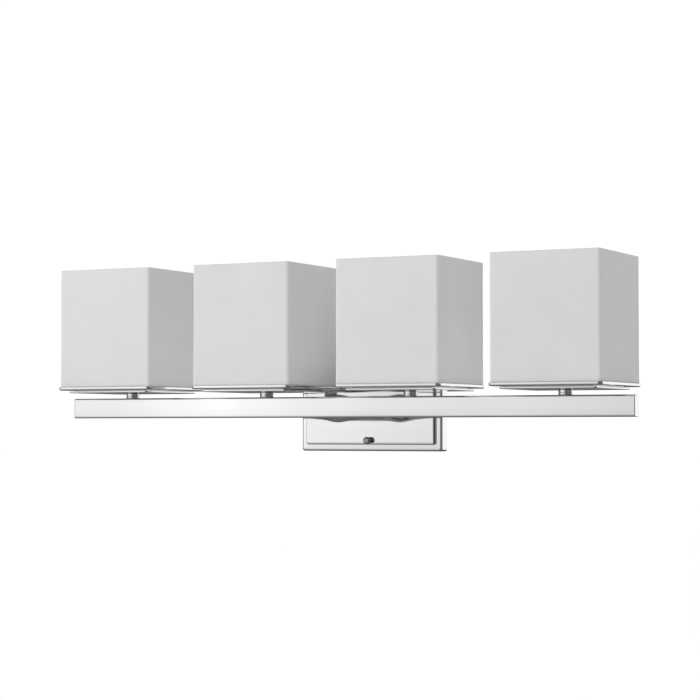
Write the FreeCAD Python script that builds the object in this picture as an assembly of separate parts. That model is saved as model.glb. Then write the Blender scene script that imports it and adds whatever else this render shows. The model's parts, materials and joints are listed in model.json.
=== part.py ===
"""Wall-mounted vanity light bar: four square glass shades on a rectangular bar.

Frame: millimetres, +Z up, +X along the bar, -Y out of the wall towards the room.
The origin is the middle of the canopy's back rim, on the wall plane.
Every sub-part is one STEP file in parts/.
"""
import FreeCAD
import Part
import math
import os

# Driving dimensions -----------------------------------------------------------

LIGHTS = 4
PITCH = 196.8                       # between neighbouring shades

BAR_LENGTH = 762.0
BAR_HEIGHT = 25.4
BAR_DEPTH = 15.0
BAR_WALL = 1.2
BAR_EDGE_RADIUS = 2.2
BAR_AXIS_Y = -107.5                 # bar and shade centres, measured from the wall
CAP_THICKNESS = 1.5
CAP_PLUG_LENGTH = 7.0
CAP_PLUG_WALL = 1.5
CAP_EDGE_RADIUS = 1.0

POST_RADIUS = 8.3
POST_HEIGHT = 6.2
POST_EDGE_RADIUS = 0.8
POST_GROOVE_HEIGHT = 2.3            # groove's height above the bar
POST_GROOVE_WIDTH = 0.5
POST_GROOVE_DEPTH = 0.6

PLATE_WIDTH = 117.0
PLATE_THICKNESS = 2.2
PLATE_LOWER_RADIUS = 1.6
PLATE_STEP_WIDTH = 104.0
PLATE_STEP_HEIGHT = 1.0

TRAY_WIDTH = 137.0
TRAY_HEIGHT = 4.2
TRAY_SHEET = 1.0
TRAY_CORNER_RADIUS = 5.6
TRAY_LOWER_RADIUS = 2.4

GLASS_WIDTH = 133.8
GLASS_HEIGHT = 150.0
GLASS_WALL = 4.0
GLASS_FLOOR = 5.0
GLASS_CORNER_RADIUS = 3.8
GLASS_BOTTOM_RADIUS = 4.0
GLASS_HOLE_RADIUS = 21.0
GASKET_THICKNESS = 0.8
SEAT_GAP = 0.3                      # between the bodies that come apart

SOCKET_RADIUS = 19.5                # crest of the outer thread
SOCKET_ROOT_RADIUS = 18.9
SOCKET_HEIGHT = 44.0
SOCKET_FLOOR = 7.0
SOCKET_CAVITY_RADIUS = 14.2
SOCKET_THREAD_PITCH = 3.0
SOCKET_THREADS = 10
SHELL_INNER_RADIUS = 13.1           # medium screw base
SHELL_WALL = 0.5
SHELL_LENGTH = 24.0
RING_BORE_RADIUS = 19.8
RING_BODY_RADIUS = 22.6
RING_FLANGE_RADIUS = 27.0
RING_FLANGE_HEIGHT = 2.4
RING_HEIGHT = 9.0
RING_GRIPS = 24

NIPPLE_RADIUS = 4.8                 # 1/8 IP lamp pipe
NIPPLE_BORE_RADIUS = 3.3
PIPE_HOLE_RADIUS = 5.0
LOCKNUT_FLATS = 14.0
LOCKNUT_HEIGHT = 3.0
NIPPLE_STICK_OUT = 0.6              # beyond each locknut

CANOPY_WIDTH = 195.8
CANOPY_HEIGHT = 108.4
CANOPY_PAN_DEPTH = 16.5
CANOPY_BLOCK_INSET = 8.6
CANOPY_BLOCK_STEP = 5.0
CANOPY_SHEET = 0.9
CANOPY_PAN_RADIUS = 3.0
CANOPY_BLOCK_RADIUS = 1.6

ARM_OFFSET = 44.45
ARM_RADIUS = 6.35
FLANGE_RADIUS = 11.0
FLANGE_LENGTH = 6.0
FLANGE_RIM = 1.2
FLANGE_TIP_WALL = 1.2
FLANGE_HOLLOW = 0.6                 # how far the bell's side curves in

BRACKET_THICKNESS = 2.0
BRACKET_ARM_WIDTH = 20.0
BRACKET_HALF_WIDTH = 56.0
BRACKET_HALF_HEIGHT = 49.0
SLOT_SPACING = 79.4
SLOT_LENGTH = 14.3
SLOT_RADIUS = 2.4
STUD_RADIUS = 2.05
STUD_OFFSET = 40.8
THUMB_NUT_RADIUS = 4.5
THUMB_NUT_LENGTH = 5.6
THUMB_SHANK_RADIUS = 3.2
THUMB_SHANK_LENGTH = 2.8
THUMB_NUT_GROOVES = 20
STUD_FIT = 0.05                     # radial running clearance in a thumb nut
STUD_NUT_FLATS = 8.7
STUD_NUT_HEIGHT = 3.0

WIRE_RADIUS = 0.9
WIRE_SPACING = 2.6
GROUND_SCREW_X = 27.0

# Levels and places that follow from them -----------------------------------------

BAR_TOP = BAR_HEIGHT / 2
POST_TOP = BAR_TOP + POST_HEIGHT
PLATE_TOP = POST_TOP + PLATE_THICKNESS
TRAY_BOTTOM = PLATE_TOP + PLATE_STEP_HEIGHT
TRAY_FLOOR = TRAY_BOTTOM + TRAY_SHEET
GLASS_BOTTOM = TRAY_FLOOR + GASKET_THICKNESS + SEAT_GAP
RING_BOTTOM = GLASS_BOTTOM + GLASS_FLOOR + SEAT_GAP
SOCKET_INNER_FLOOR = TRAY_FLOOR + SOCKET_FLOOR
SOCKET_TOP = TRAY_FLOOR + SOCKET_HEIGHT
SHELL_TOP = SOCKET_TOP - 2.0
BAR_FRONT = BAR_AXIS_Y - BAR_DEPTH / 2
BAR_BACK = BAR_AXIS_Y + BAR_DEPTH / 2
CANOPY_FRONT = -(CANOPY_PAN_DEPTH + CANOPY_BLOCK_STEP)
CANOPY_INSIDE = CANOPY_FRONT + CANOPY_SHEET
LIGHT_X = [(index - (LIGHTS - 1) / 2) * PITCH for index in range(LIGHTS)]
SIDES = {"left": -1, "right": 1}

X_AXIS = FreeCAD.Vector(1, 0, 0)
Y_AXIS = FreeCAD.Vector(0, 1, 0)
Z_AXIS = FreeCAD.Vector(0, 0, 1)


def vector(x, y, z):
    return FreeCAD.Vector(x, y, z)


def save(name, shape):
    """Write one node, after checking that it is sound."""
    if not shape.isValid() or shape.Volume <= 0:
        raise ValueError("bad shape: " + name)
    os.makedirs("parts", exist_ok=True)
    shape.exportStep("parts/" + name + ".step")
    print(name, len(shape.Solids), round(shape.Volume, 1))


def group(shapes):
    return Part.makeCompound(shapes)


# Basic solids -----------------------------------------------------------------

def block(x, y, z):
    """A box from three (low, high) pairs."""
    return Part.makeBox(x[1] - x[0], y[1] - y[0], z[1] - z[0], vector(x[0], y[0], z[0]))


def edges_along(shape, axis):
    """Straight edges that run along the given axis."""
    found = []
    for edge in shape.Edges:
        if len(edge.Vertexes) == 2:
            run = edge.Vertexes[1].Point - edge.Vertexes[0].Point
            if run.Length > 0 and run.cross(axis).Length < 1e-6 * run.Length:
                found.append(edge)
    return found


def edges_at(shape, axis, level):
    """Edges that lie in the plane where the axis coordinate equals level."""
    return [edge for edge in shape.Edges
            if all(abs(point.Point.dot(axis) - level) < 1e-4 for point in edge.Vertexes)
            and abs(edge.CenterOfMass.dot(axis) - level) < 1e-4]


def square_block(width, corner_radius, z):
    """A square prism about the Z axis with rounded upright corners."""
    half = width / 2
    solid = block((-half, half), (-half, half), z)
    if corner_radius > 0:
        solid = solid.makeFillet(corner_radius, edges_along(solid, Z_AXIS))
    return solid


def rod_z(radius, z, x=0.0, y=0.0):
    return Part.makeCylinder(radius, z[1] - z[0], vector(x, y, z[0]), Z_AXIS)


def rod_y(radius, y, x=0.0, z=0.0):
    return Part.makeCylinder(radius, y[1] - y[0], vector(x, y[0], z), Y_AXIS)


def turned(outline, axis):
    """Revolve (radius, height) points about an axis through the origin."""
    if axis == Z_AXIS:
        points = [vector(radius, 0, height) for radius, height in outline]
    else:
        points = [vector(radius, height, 0) for radius, height in outline]
    wire = Part.makePolygon(points + points[:1])
    return Part.Face(wire).revolve(vector(0, 0, 0), axis, 360)


def hexagon(flats, height, axis, centre, bore):
    """A hexagonal nut that starts at centre and grows along axis."""
    radius = flats / math.sqrt(3)
    corners = []
    for index in range(6):
        turn = math.radians(60 * index)
        across = radius * math.cos(turn)
        along = radius * math.sin(turn)
        offset = vector(across, along, 0) if axis == Z_AXIS else vector(across, 0, along)
        corners.append(centre + offset)
    prism = Part.Face(Part.makePolygon(corners + corners[:1])).extrude(axis * height)
    return prism.cut(Part.makeCylinder(bore, height, centre, axis))


# The bar ----------------------------------------------------------------------

def rounded_bar(depth, height, length, radius):
    solid = block((-length / 2, length / 2), (BAR_AXIS_Y - depth / 2, BAR_AXIS_Y + depth / 2),
                  (-height / 2, height / 2))
    return solid.makeFillet(radius, edges_along(solid, X_AXIS)) if radius > 0 else solid


def make_bar_tube():
    length = BAR_LENGTH - 2 * CAP_THICKNESS
    tube = rounded_bar(BAR_DEPTH, BAR_HEIGHT, length, BAR_EDGE_RADIUS)
    tube = tube.cut(rounded_bar(BAR_DEPTH - 2 * BAR_WALL, BAR_HEIGHT - 2 * BAR_WALL, length + 2, 0))
    for x in LIGHT_X:
        tube = tube.cut(rod_z(PIPE_HOLE_RADIUS, (0, BAR_TOP + 1), x, BAR_AXIS_Y))
    for side in SIDES.values():
        tube = tube.cut(rod_y(PIPE_HOLE_RADIUS, (BAR_AXIS_Y, BAR_BACK + 1), side * ARM_OFFSET))
    return tube


def make_end_cap(side):
    """A thin cover plate with a hollow plug that pushes into the tube."""
    outer = BAR_LENGTH / 2
    inner = outer - CAP_THICKNESS
    plug_depth = BAR_DEPTH - 2 * BAR_WALL
    plug_height = BAR_HEIGHT - 2 * BAR_WALL
    cover = rounded_bar(BAR_DEPTH, BAR_HEIGHT, BAR_LENGTH, BAR_EDGE_RADIUS)
    cover = cover.common(block((inner, outer + 1), (-200, 0), (-50, 50)))
    cover = cover.makeFillet(CAP_EDGE_RADIUS, edges_at(cover, X_AXIS, outer))
    plug = rounded_bar(plug_depth, plug_height, 2 * inner, 0)
    plug = plug.cut(rounded_bar(plug_depth - 2 * CAP_PLUG_WALL, plug_height - 2 * CAP_PLUG_WALL,
                                2 * inner + 2, 0))
    plug = plug.common(block((inner - CAP_PLUG_LENGTH, inner), (-200, 0), (-50, 50)))
    cap = cover.fuse(plug)
    if side < 0:
        cap = cap.mirror(vector(0, 0, 0), X_AXIS)
    return cap


# One light, built about the Z axis and then moved to its place --------------------

def make_post():
    """A turned spacer: two rounded tiers with a groove between them."""
    groove_low = BAR_TOP + POST_GROOVE_HEIGHT
    post = rod_z(POST_RADIUS, (BAR_TOP, POST_TOP))
    post = post.makeFillet(POST_EDGE_RADIUS,
                           edges_at(post, Z_AXIS, BAR_TOP) + edges_at(post, Z_AXIS, POST_TOP))
    groove = rod_z(POST_RADIUS + 1, (groove_low, groove_low + POST_GROOVE_WIDTH))
    groove = groove.cut(rod_z(POST_RADIUS - POST_GROOVE_DEPTH, (BAR_TOP, POST_TOP)))
    return post.cut(groove).cut(rod_z(PIPE_HOLE_RADIUS, (BAR_TOP - 1, POST_TOP + 1)))


def make_tray_plate():
    plate = square_block(PLATE_WIDTH, 3.0, (POST_TOP, PLATE_TOP))
    plate = plate.makeFillet(PLATE_LOWER_RADIUS, edges_at(plate, Z_AXIS, POST_TOP))
    step = square_block(PLATE_STEP_WIDTH, 3.0, (PLATE_TOP - 0.5, TRAY_BOTTOM))
    return plate.fuse(step).cut(rod_z(PIPE_HOLE_RADIUS, (POST_TOP - 1, TRAY_BOTTOM + 1)))


def make_shade_tray():
    """A shallow square pan whose upturned lip hides the foot of the glass."""
    outer = square_block(TRAY_WIDTH, TRAY_CORNER_RADIUS, (TRAY_BOTTOM, TRAY_BOTTOM + TRAY_HEIGHT))
    outer = outer.makeFillet(TRAY_LOWER_RADIUS, edges_at(outer, Z_AXIS, TRAY_BOTTOM))
    inner = square_block(TRAY_WIDTH - 2 * TRAY_SHEET, TRAY_CORNER_RADIUS - TRAY_SHEET,
                         (TRAY_FLOOR, TRAY_BOTTOM + TRAY_HEIGHT + 1))
    inner = inner.makeFillet(TRAY_LOWER_RADIUS - TRAY_SHEET, edges_at(inner, Z_AXIS, TRAY_FLOOR))
    return outer.cut(inner).cut(rod_z(PIPE_HOLE_RADIUS, (TRAY_BOTTOM - 1, TRAY_FLOOR + 1)))


def make_gasket():
    disc = rod_z(GLASS_HOLE_RADIUS + 9, (TRAY_FLOOR, TRAY_FLOOR + GASKET_THICKNESS))
    return disc.cut(rod_z(SOCKET_RADIUS + 0.5, (TRAY_FLOOR - 1, TRAY_FLOOR + GASKET_THICKNESS + 1)))


def make_glass_shade():
    """An open-topped square vase with a rounded foot, a cut rim and a hole for the socket."""
    top = GLASS_BOTTOM + GLASS_HEIGHT
    outer = square_block(GLASS_WIDTH, GLASS_CORNER_RADIUS, (GLASS_BOTTOM, top))
    outer = outer.makeFillet(GLASS_BOTTOM_RADIUS - 1, edges_at(outer, Z_AXIS, GLASS_BOTTOM))
    floor = GLASS_BOTTOM + GLASS_FLOOR
    inner = square_block(GLASS_WIDTH - 2 * GLASS_WALL, GLASS_CORNER_RADIUS - 2, (floor, top + 1))
    inner = inner.makeFillet(3.0, edges_at(inner, Z_AXIS, floor))
    shade = outer.cut(inner)
    shade = shade.makeFillet(0.5, edges_at(shade, Z_AXIS, top))
    return shade.cut(rod_z(GLASS_HOLE_RADIUS, (GLASS_BOTTOM - 1, floor + 1)))


def make_socket_body():
    """An insulating lampholder cup with an outer thread for the shade ring."""
    thread_low = TRAY_FLOOR + 8.0
    outline = [(NIPPLE_RADIUS, TRAY_FLOOR), (SOCKET_ROOT_RADIUS, TRAY_FLOOR)]
    for index in range(SOCKET_THREADS):
        low = thread_low + index * SOCKET_THREAD_PITCH
        outline.append((SOCKET_ROOT_RADIUS, low))
        outline.append((SOCKET_RADIUS, low + 0.3 * SOCKET_THREAD_PITCH))
        outline.append((SOCKET_RADIUS, low + 0.6 * SOCKET_THREAD_PITCH))
        outline.append((SOCKET_ROOT_RADIUS, low + 0.9 * SOCKET_THREAD_PITCH))
    outline += [(SOCKET_ROOT_RADIUS, SOCKET_TOP - 0.8), (SOCKET_ROOT_RADIUS - 0.8, SOCKET_TOP),
                (SOCKET_CAVITY_RADIUS, SOCKET_TOP), (SOCKET_CAVITY_RADIUS, SOCKET_INNER_FLOOR),
                (NIPPLE_RADIUS, SOCKET_INNER_FLOOR)]
    return turned(outline, Z_AXIS)


def make_screw_shell():
    outer = SHELL_INNER_RADIUS + SHELL_WALL
    low = SHELL_TOP - SHELL_LENGTH
    outline = [(SHELL_INNER_RADIUS, low), (outer, low), (outer, SHELL_TOP - 1.2),
               (SOCKET_CAVITY_RADIUS, SHELL_TOP - 0.6), (SOCKET_CAVITY_RADIUS, SHELL_TOP),
               (SHELL_INNER_RADIUS + 0.2, SHELL_TOP), (SHELL_INNER_RADIUS, SHELL_TOP - 0.6)]
    shell = turned(outline, Z_AXIS)
    # Two legs carry the shell down to the floor of the cup.
    for side in (-1, 1):
        leg_x = sorted((side * (SHELL_INNER_RADIUS + 0.05), side * (outer - 0.05)))
        leg = block(leg_x, (-2.5, 2.5), (SOCKET_INNER_FLOOR, low + 1))
        foot_x = sorted((side * (SHELL_INNER_RADIUS - 5), side * (outer - 0.05)))
        foot = block(foot_x, (-2.5, 2.5), (SOCKET_INNER_FLOOR, SOCKET_INNER_FLOOR + 0.6))
        shell = shell.fuse(leg).fuse(foot)
    return shell


def make_center_contact():
    """A folded spring strip, held by a rivet beside the pipe, that meets the lamp's tip."""
    low = SOCKET_INNER_FLOOR
    strip = block((-3, 3), (-10.5, -5.8), (low, low + 0.6))
    riser = block((-3, 3), (-10.5, -9.9), (low, low + 7.0))
    tongue = block((-3, 3), (-10.5, 2.5), (low + 6.4, low + 7.0))
    button = rod_z(2.2, (low + 6.9, low + 8.0))
    rivet = rod_z(1.4, (low + 0.5, low + 1.4), 0, -8.0)
    return strip.multiFuse([riser, tongue, button, rivet])


def make_shade_ring():
    """A flanged ring nut with a gripped rim that clamps the glass."""
    flange_top = RING_BOTTOM + RING_FLANGE_HEIGHT
    ring_top = RING_BOTTOM + RING_HEIGHT
    outline = [(RING_BORE_RADIUS, RING_BOTTOM), (RING_FLANGE_RADIUS - 0.4, RING_BOTTOM),
               (RING_FLANGE_RADIUS, RING_BOTTOM + 0.4), (RING_FLANGE_RADIUS, flange_top - 0.4),
               (RING_FLANGE_RADIUS - 0.4, flange_top), (RING_BODY_RADIUS, flange_top),
               (RING_BODY_RADIUS, ring_top - 0.5), (RING_BODY_RADIUS - 0.5, ring_top),
               (RING_BORE_RADIUS + 0.3, ring_top), (RING_BORE_RADIUS, ring_top - 0.3)]
    ring = turned(outline, Z_AXIS)
    cutters = []
    for index in range(RING_GRIPS):
        turn = 2 * math.pi * index / RING_GRIPS
        reach = RING_FLANGE_RADIUS + 0.3
        cutters.append(rod_z(0.9, (RING_BOTTOM - 1, flange_top + 1),
                             reach * math.cos(turn), reach * math.sin(turn)))
    return ring.cut(group(cutters))


def make_light_nipple():
    low = BAR_TOP - BAR_WALL - LOCKNUT_HEIGHT - NIPPLE_STICK_OUT
    pipe = rod_z(NIPPLE_RADIUS, (low, SOCKET_INNER_FLOOR))
    return pipe.cut(rod_z(NIPPLE_BORE_RADIUS, (low - 1, SOCKET_INNER_FLOOR + 1)))


def make_light_locknut():
    start = vector(0, 0, BAR_TOP - BAR_WALL - LOCKNUT_HEIGHT)
    return hexagon(LOCKNUT_FLATS - 2, LOCKNUT_HEIGHT, Z_AXIS, start, NIPPLE_RADIUS)


def at_light(shape, x):
    placed = shape.copy()
    placed.translate(vector(x, BAR_AXIS_Y, 0))
    return placed


# Canopy and arms ----------------------------------------------------------------

def stepped_block(shrink):
    """The canopy's outer form, or the space inside it when shrink is the sheet's thickness."""
    half_width = CANOPY_WIDTH / 2 - shrink
    half_height = CANOPY_HEIGHT / 2 - shrink
    back = 1.0 if shrink else 0.0
    pan_radius = CANOPY_PAN_RADIUS - shrink
    block_radius = CANOPY_BLOCK_RADIUS - 0.8 * shrink
    pan = block((-half_width, half_width), (-CANOPY_PAN_DEPTH + shrink, back),
                (-half_height, half_height))
    pan = pan.makeFillet(pan_radius, edges_along(pan, Y_AXIS))
    pan = pan.makeFillet(pan_radius * 0.9, edges_at(pan, Y_AXIS, -CANOPY_PAN_DEPTH + shrink))
    inset = CANOPY_BLOCK_INSET
    raised = block((-half_width + inset, half_width - inset), (CANOPY_FRONT + shrink, -5.0),
                   (-half_height + inset, half_height - inset))
    raised = raised.makeFillet(block_radius, edges_along(raised, Y_AXIS))
    raised = raised.makeFillet(block_radius * 0.9, edges_at(raised, Y_AXIS, CANOPY_FRONT + shrink))
    return pan.fuse(raised)


def make_canopy():
    canopy = stepped_block(0).cut(stepped_block(CANOPY_SHEET))
    for side in (-1, 1):
        pipe_hole = rod_y(PIPE_HOLE_RADIUS, (CANOPY_FRONT - 1, CANOPY_INSIDE + 1),
                          side * ARM_OFFSET)
        stud_hole = rod_y(STUD_RADIUS + 0.3, (CANOPY_FRONT - 1, CANOPY_INSIDE + 1),
                          0, side * STUD_OFFSET)
        canopy = canopy.cut(pipe_hole).cut(stud_hole)
    return canopy


def make_arm(side):
    arm = rod_y(ARM_RADIUS, (BAR_BACK, CANOPY_FRONT), side * ARM_OFFSET)
    return arm.cut(rod_y(NIPPLE_RADIUS, (BAR_BACK - 1, CANOPY_FRONT + 1), side * ARM_OFFSET))


def make_arm_flange(side):
    """A bell-shaped escutcheon around the root of an arm."""
    bore = ARM_RADIUS
    start = CANOPY_FRONT
    rim = start - FLANGE_RIM
    tip = start - FLANGE_LENGTH
    tip_radius = bore + FLANGE_TIP_WALL
    bell = Part.Arc(vector(FLANGE_RADIUS, rim, 0),
                    vector((FLANGE_RADIUS + tip_radius) / 2 - FLANGE_HOLLOW,
                           (rim + tip) / 2 + FLANGE_HOLLOW, 0),
                    vector(tip_radius, tip, 0)).toShape()
    points = [vector(tip_radius, tip, 0), vector(bore, tip, 0), vector(bore, start, 0),
              vector(FLANGE_RADIUS, start, 0), vector(FLANGE_RADIUS, rim, 0)]
    outline = Part.Wire([bell] + Part.makePolygon(points).Edges)
    flange = Part.Face(outline).revolve(vector(0, 0, 0), Y_AXIS, 360)
    flange.translate(vector(side * ARM_OFFSET, 0, 0))
    return flange


def make_arm_nipples():
    """Four short pipes: one at each end of each arm."""
    into_bar = BAR_BACK - BAR_WALL - LOCKNUT_HEIGHT - NIPPLE_STICK_OUT
    into_canopy = CANOPY_INSIDE + LOCKNUT_HEIGHT + NIPPLE_STICK_OUT
    spans = [(into_bar, BAR_BACK + 14), (CANOPY_FRONT - 14, into_canopy)]
    pipes = []
    for side in SIDES.values():
        for span in spans:
            pipe = rod_y(NIPPLE_RADIUS, span, side * ARM_OFFSET)
            bore = rod_y(NIPPLE_BORE_RADIUS, (span[0] - 1, span[1] + 1), side * ARM_OFFSET)
            pipes.append(pipe.cut(bore))
    return group(pipes)


def make_arm_locknuts():
    starts = [BAR_BACK - BAR_WALL - LOCKNUT_HEIGHT, CANOPY_INSIDE]
    return group([hexagon(LOCKNUT_FLATS, LOCKNUT_HEIGHT, Y_AXIS,
                          vector(side * ARM_OFFSET, start, 0), NIPPLE_RADIUS)
                  for side in SIDES.values() for start in starts])


# Fixing to the wall ---------------------------------------------------------------

def make_wall_bracket():
    """A cross-shaped plate: slots for the box screws, holes for the two studs."""
    depth = (-BRACKET_THICKNESS, 0)
    arm = BRACKET_ARM_WIDTH / 2
    across = block((-BRACKET_HALF_WIDTH, BRACKET_HALF_WIDTH), depth, (-arm, arm))
    upright = block((-arm, arm), depth, (-BRACKET_HALF_HEIGHT, BRACKET_HALF_HEIGHT))
    plate = across.fuse(upright).removeSplitter()
    plate = plate.makeFillet(2.0, edges_along(plate, Y_AXIS))
    reach = (-BRACKET_THICKNESS - 1, 1)
    straight = SLOT_LENGTH / 2 - SLOT_RADIUS
    for side in (-1, 1):
        middle = side * SLOT_SPACING / 2
        plate = plate.cut(block((middle - straight, middle + straight), reach,
                                (-SLOT_RADIUS, SLOT_RADIUS)))
        plate = plate.cut(rod_y(SLOT_RADIUS, reach, middle - straight))
        plate = plate.cut(rod_y(SLOT_RADIUS, reach, middle + straight))
        plate = plate.cut(rod_y(STUD_RADIUS, reach, 0, side * STUD_OFFSET))
    return plate.cut(rod_y(1.8, reach, GROUND_SCREW_X, 0))


def thumb_nut_start():
    """Where the back of a thumb nut lies, just in front of the canopy."""
    return CANOPY_FRONT - SEAT_GAP


def make_bracket_studs():
    tip = thumb_nut_start() - THUMB_SHANK_LENGTH - THUMB_NUT_LENGTH + 3.0
    return group([rod_y(STUD_RADIUS, (tip, 0), 0, side * STUD_OFFSET) for side in (-1, 1)])


def make_stud_nuts():
    start = -BRACKET_THICKNESS - STUD_NUT_HEIGHT
    return group([hexagon(STUD_NUT_FLATS, STUD_NUT_HEIGHT, Y_AXIS,
                          vector(0, start, side * STUD_OFFSET), STUD_RADIUS) for side in (-1, 1)])


def make_thumb_nut(side):
    """A grooved thumb nut with a plain collar and a blind threaded hole."""
    back = thumb_nut_start()
    collar = back - THUMB_SHANK_LENGTH
    front = collar - THUMB_NUT_LENGTH
    bore = STUD_RADIUS + STUD_FIT
    outline = [(0, front), (THUMB_NUT_RADIUS - 1.2, front),
               (THUMB_NUT_RADIUS - 0.3, front + 0.5), (THUMB_NUT_RADIUS, front + 1.4),
               (THUMB_NUT_RADIUS, collar - 0.6), (THUMB_NUT_RADIUS - 0.6, collar),
               (THUMB_SHANK_RADIUS, collar), (THUMB_SHANK_RADIUS, back), (bore, back),
               (bore, front + 2.0), (0, front + 2.0)]
    nut = turned(outline, Y_AXIS)
    cutters = []
    for index in range(THUMB_NUT_GROOVES):
        turn = 2 * math.pi * index / THUMB_NUT_GROOVES
        reach = THUMB_NUT_RADIUS + 0.15
        cutters.append(rod_y(0.4, (front + 1.6, collar - 0.8),
                             reach * math.cos(turn), reach * math.sin(turn)))
    nut = nut.cut(group(cutters))
    nut.translate(vector(0, 0, side * STUD_OFFSET))
    return nut


def make_ground_screw():
    head = rod_y(3.6, (-BRACKET_THICKNESS - 2.0, -BRACKET_THICKNESS), GROUND_SCREW_X)
    shank = rod_y(1.75, (-BRACKET_THICKNESS - 0.5, 0.0), GROUND_SCREW_X)
    slot = block((GROUND_SCREW_X - 4, GROUND_SCREW_X + 4),
                 (-BRACKET_THICKNESS - 2.5, -BRACKET_THICKNESS - 1.2), (-0.5, 0.5))
    return head.fuse(shank).cut(slot)


# Internal wiring --------------------------------------------------------------------

def tube_along(points, radius, bends):
    """A round wire along straight runs joined by tangent arcs."""
    edges = []
    start = points[0]
    for index in range(1, len(points) - 1):
        corner = points[index]
        back = (points[index - 1] - corner).normalize()
        ahead = (points[index + 1] - corner).normalize()
        bend = bends[index - 1]
        half_turn = (math.pi - back.getAngle(ahead)) / 2
        reach = bend * math.tan(half_turn)
        enter = corner + back * reach
        leave = corner + ahead * reach
        toward = (back + ahead).normalize()
        middle = corner + toward * (bend / math.cos(half_turn) - bend)
        edges.append(Part.LineSegment(start, enter).toShape())
        edges.append(Part.Arc(enter, middle, leave).toShape())
        start = leave
    edges.append(Part.LineSegment(start, points[-1]).toShape())
    path = Part.Wire(edges)
    direction = (points[1] - points[0]).normalize()
    section = Part.Wire([Part.Circle(points[0], direction, radius).toShape()])
    return path.makePipeShell([section], True, True)


def make_leads(polarity):
    """The four insulated leads of one colour, from the sockets through the bar and arms.

    The live leads (polarity 1) run along the bar's front and rise to the upper connector;
    the neutral leads (polarity -1) run behind them and drop to the lower one.
    """
    half_step = WIRE_SPACING / 2
    bar_y = BAR_AXIS_Y - 2.2 if polarity > 0 else BAR_AXIS_Y + 0.1
    turn_bend = 4.0 if polarity > 0 else 1.9
    splice_y = -13.5 if polarity > 0 else -9.0
    leads = []
    for x in LIGHT_X:
        side = 1 if x > 0 else -1
        is_outer = abs(x) > PITCH
        run_z = -half_step if is_outer else half_step
        arm_x = side * (ARM_OFFSET - polarity * half_step)
        nested_last = (run_z < 0) == (polarity > 0)
        splice_x = side * half_step * (1 if nested_last else 3)
        leads.append(tube_along([
            vector(x, bar_y, SOCKET_INNER_FLOOR - 0.5),
            vector(x, bar_y, run_z),
            vector(arm_x, bar_y, run_z),
            vector(arm_x, splice_y, run_z),
            vector(splice_x, splice_y, run_z),
            vector(splice_x, splice_y, polarity * 11.0),
        ], WIRE_RADIUS, [3.5, turn_bend, 4.0, 3.0]))
    return group(leads)


def make_wire_connectors():
    """Two twist-on connectors: a closed tapering cap over each set of lead ends."""
    connectors = []
    for side, y in ((1, -13.5), (-1, -9.0)):
        outline = [(0, 11.0), (5.6, 11.0), (6.0, 12.5), (5.4, 18.0), (4.4, 29.0), (3.4, 31.0),
                   (0, 31.0)]
        cap = turned([(radius, side * height) for radius, height in outline], Z_AXIS)
        cap.translate(vector(0, y, 0))
        connectors.append(cap)
    return group(connectors)


def make_ground_lead():
    """The bonding wire from the green screw to a lug on the canopy's inside."""
    lead_x = GROUND_SCREW_X + 3.6 + WIRE_RADIUS
    wire_y = -BRACKET_THICKNESS - 1.2
    lug_z = 26.0
    wire = tube_along([vector(lead_x, wire_y, -3.0), vector(lead_x, wire_y, lug_z),
                       vector(lead_x, CANOPY_INSIDE + 0.9, lug_z)], WIRE_RADIUS, [6.0])
    lug = rod_y(4.0, (CANOPY_INSIDE, CANOPY_INSIDE + 1.0), lead_x, lug_z)
    return wire.fuse(lug)


# Write every node ---------------------------------------------------------------------

LIGHT_PARTS = {
    "glass_shade": make_glass_shade,
    "shade_gasket": make_gasket,
    "shade_ring": make_shade_ring,
    "shade_tray": make_shade_tray,
    "tray_plate": make_tray_plate,
    "post": make_post,
    "socket_body": make_socket_body,
    "screw_shell": make_screw_shell,
}

for name, make in LIGHT_PARTS.items():
    shape = make()
    for number, x in enumerate(LIGHT_X, start=1):
        save(name + "_" + str(number), at_light(shape, x))

save("center_contacts", group([at_light(make_center_contact(), x) for x in LIGHT_X]))
save("light_nipples", group([at_light(make_light_nipple(), x) for x in LIGHT_X]))
save("light_locknuts", group([at_light(make_light_locknut(), x) for x in LIGHT_X]))

save("bar_tube", make_bar_tube())
for side_name, side in SIDES.items():
    save("end_cap_" + side_name, make_end_cap(side))
    save("arm_" + side_name, make_arm(side))
    save("arm_flange_" + side_name, make_arm_flange(side))
save("arm_nipples", make_arm_nipples())
save("arm_locknuts", make_arm_locknuts())

save("canopy", make_canopy())
save("wall_bracket", make_wall_bracket())
save("bracket_studs", make_bracket_studs())
save("stud_nuts", make_stud_nuts())
save("thumb_nut_top", make_thumb_nut(1))
save("thumb_nut_bottom", make_thumb_nut(-1))
save("ground_screw", make_ground_screw())

save("leads_black", make_leads(1))
save("leads_white", make_leads(-1))
save("ground_lead", make_ground_lead())
save("wire_connectors", make_wire_connectors())
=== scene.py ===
"""Looks of the wall-mounted vanity light bar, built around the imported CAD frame.

Units are metres in the CAD's own frame: +Z up, +X along the bar, the room on the -Y side.
"""

import json
import math

import bmesh
import bpy
from mathutils import Matrix, Vector, noise


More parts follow.
